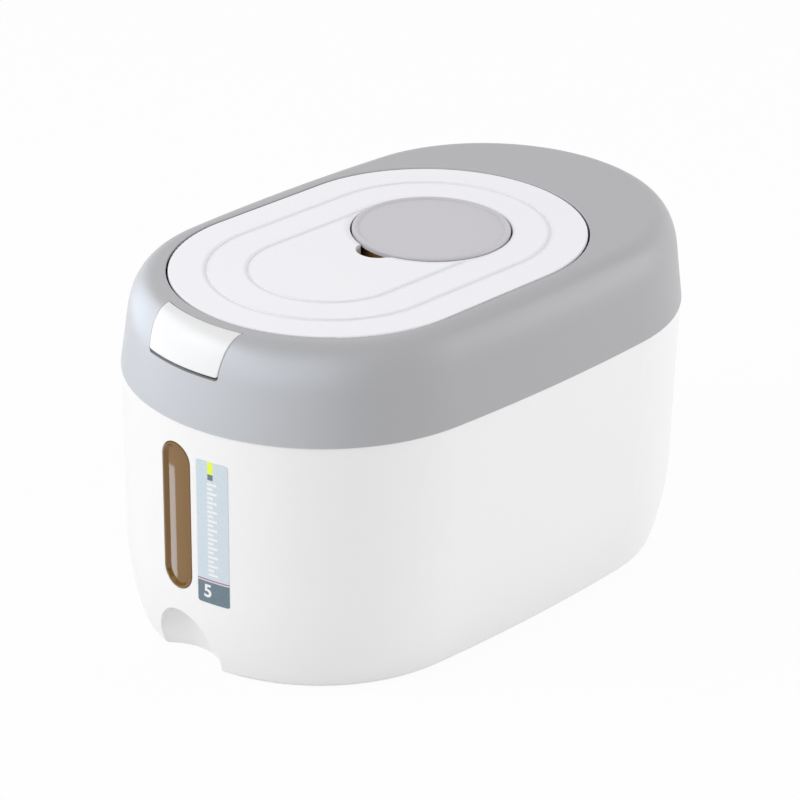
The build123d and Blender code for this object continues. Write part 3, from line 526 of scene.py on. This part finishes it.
def make_stage_mesh(name, corners):
    mesh = bpy.data.meshes.new(name)
    mesh.from_pydata(corners, [], [(0, 1, 2, 3)])
    stage = add_to_scene(bpy.data.objects.new(name, mesh))
    return stage


def make_floor():
    half = FLOOR_SIZE / 2
    corners = [(-half, -half, 0), (half, -half, 0), (half, half, 0), (-half, half, 0)]
    floor = make_stage_mesh("StudioFloor", corners)
    material, tree = new_material("FloorPaper")
    paper = shader_of(material)
    paper.inputs["Base Color"].default_value = (*PAPER_WHITE, 1)
    paper.inputs["Roughness"].default_value = PAPER_ROUGHNESS
    mix = tree.nodes.new("ShaderNodeMixShader")
    tree.links.new(add_math(tree, "MULTIPLY", seen_directly(tree), FLOOR_GLOW), mix.inputs["Fac"])
    tree.links.new(paper.outputs["BSDF"], mix.inputs[1])
    tree.links.new(add_glow(tree, (1, 1, 1), 1.0), mix.inputs[2])
    tree.links.new(mix.outputs["Shader"], tree.nodes["Material Output"].inputs["Surface"])
    floor.data.materials.append(material)


def make_card(name, left, right, height, strength, receivers):
    """A glowing card that shows only as a reflection on the pieces given."""
    top = CARD_FOOT + height
    card = make_stage_mesh(name, [(*left, CARD_FOOT), (*right, CARD_FOOT), (*right, top), (*left, top)])
    card.visible_camera = False
    card.visible_diffuse = False
    card.visible_shadow = False
    material, tree = new_material(name + "Glow")
    glow = add_glow(tree, CARD_BLUE, strength)
    tree.links.new(glow, tree.nodes["Material Output"].inputs["Surface"])
    card.data.materials.append(material)
    linked = bpy.data.collections.new(name + "Receivers")
    for receiver in receivers:
        linked.objects.link(receiver)
    card.light_linking.receiver_collection = linked


def make_world():
    world = bpy.data.worlds.new("StudioWorld")
    world.use_nodes = True
    tree = world.node_tree
    background = tree.nodes["Background"]
    background.inputs["Color"].default_value = (1, 1, 1, 1)
    level = add_range(tree, seen_directly(tree), To_Min=WORLD_LEVEL, To_Max=1.0)
    tree.links.new(level, background.inputs["Strength"])
    bpy.context.scene.world = world


def make_lamp(name, place, power, size):
    lamp = bpy.data.lights.new(name, "AREA")
    lamp.energy = power
    lamp.shape = "DISK"
    lamp.size = size
    holder = add_to_scene(bpy.data.objects.new(name, lamp))
    holder.location = place
    aim = Vector(LIGHT_TARGET) - Vector(place)
    holder.rotation_euler = aim.to_track_quat("-Z", "Y").to_euler()


def make_camera():
    back = Vector((
        sin(CAMERA_AZIMUTH) * cos(CAMERA_ELEVATION),
        -cos(CAMERA_AZIMUTH) * cos(CAMERA_ELEVATION),
        sin(CAMERA_ELEVATION),
    ))
    level_right = Vector((0, 0, 1)).cross(back).normalized()
    level_up = back.cross(level_right)
    right = level_right * cos(CAMERA_ROLL) + level_up * sin(CAMERA_ROLL)
    up = level_up * cos(CAMERA_ROLL) - level_right * sin(CAMERA_ROLL)
    aim = Vector((0, 0, AIM_HEIGHT)) + level_right * AIM_RIGHT + level_up * AIM_UP
    camera = bpy.data.cameras.new("PhotoCamera")
    camera.lens = CAMERA_LENS
    camera.clip_start = CLIP_START
    camera.clip_end = CLIP_END
    holder = add_to_scene(bpy.data.objects.new("PhotoCamera", camera))
    holder.matrix_world = Matrix.Translation(aim + back * CAMERA_DISTANCE) @ axes_matrix(right, up, back)
    bpy.context.scene.camera = holder


make_floor()
sheen_takers = [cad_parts["collar_cover"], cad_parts["press_button"]]
make_card("SheenCard", SHEEN_CARD_LEFT, SHEEN_CARD_RIGHT, SHEEN_CARD_HEIGHT, SHEEN_CARD_GLOW, sheen_takers)
make_card("SideCard", SHEEN_CARD_RIGHT, SIDE_CARD_RIGHT, SIDE_CARD_HEIGHT, SIDE_CARD_GLOW, sheen_takers)
make_card("StripCard", STRIP_CARD_LEFT, STRIP_CARD_RIGHT, STRIP_CARD_HEIGHT, STRIP_CARD_GLOW, [sight_pane])
make_world()
make_lamp("KeyLamp", KEY_PLACE, KEY_POWER, KEY_SIZE)
make_lamp("FillLamp", FILL_PLACE, FILL_POWER, FILL_SIZE)
make_camera()
bpy.context.scene.view_settings.view_transform = "Standard"
